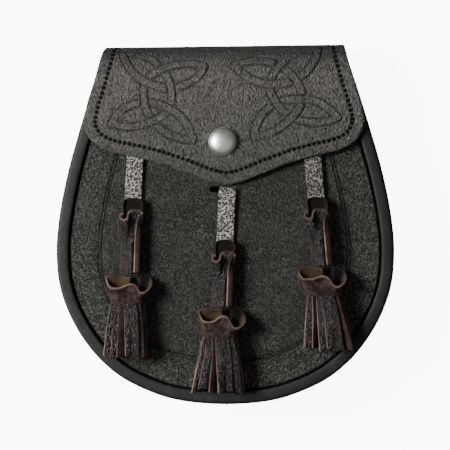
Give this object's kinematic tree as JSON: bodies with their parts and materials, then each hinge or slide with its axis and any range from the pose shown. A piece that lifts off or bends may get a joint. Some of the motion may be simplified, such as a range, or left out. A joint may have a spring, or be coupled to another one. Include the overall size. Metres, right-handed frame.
{
  "type": "sporran pouch",
  "caption": "Leather pouch with a rolled flap, bound edges and gusset, a domed snap and hanging tassels on straps.",
  "frame": {"origin": "under the middle of the pouch's outline, on the surface it lies on with its back down", "axes": "+X to the right as seen from the front, +Y towards the pouch's top, +Z out of its front"},
  "size_m": [0.184, 0.195, 0.0424],
  "materials": {
    "pebbled_leather": "black pebbled grain, semi-matt",
    "smooth_leather": "black smooth leather, soft sheen",
    "strap_leather": "black coarse grain, worn bright on its high points",
    "tassel_leather": "very dark brown leather with paler raw cut edges",
    "satin_nickel": "satin nickel plate",
    "plain_steel": "plain pressed steel"
  },
  "bodies": {
    "root": {"back_panel": "pebbled_leather", "front_panel": "pebbled_leather", "flap": "pebbled_leather", "gusset": "smooth_leather", "back_binding": "smooth_leather", "front_binding": "smooth_leather", "back_loop": "smooth_leather", "snap_cap": "satin_nickel", "snap_stud": "plain_steel", "tassel_strap_left": "strap_leather", "tassel_roll_left": "tassel_leather", "tassel_head_left": "tassel_leather", "tassel_fringe_left": "tassel_leather", "tassel_strap_centre": "strap_leather", "tassel_roll_centre": "tassel_leather", "tassel_head_centre": "tassel_leather", "tassel_fringe_centre": "tassel_leather", "tassel_strap_right": "strap_leather", "tassel_roll_right": "tassel_leather", "tassel_head_right": "tassel_leather", "tassel_fringe_right": "tassel_leather"}
  },
  "joints": []
}
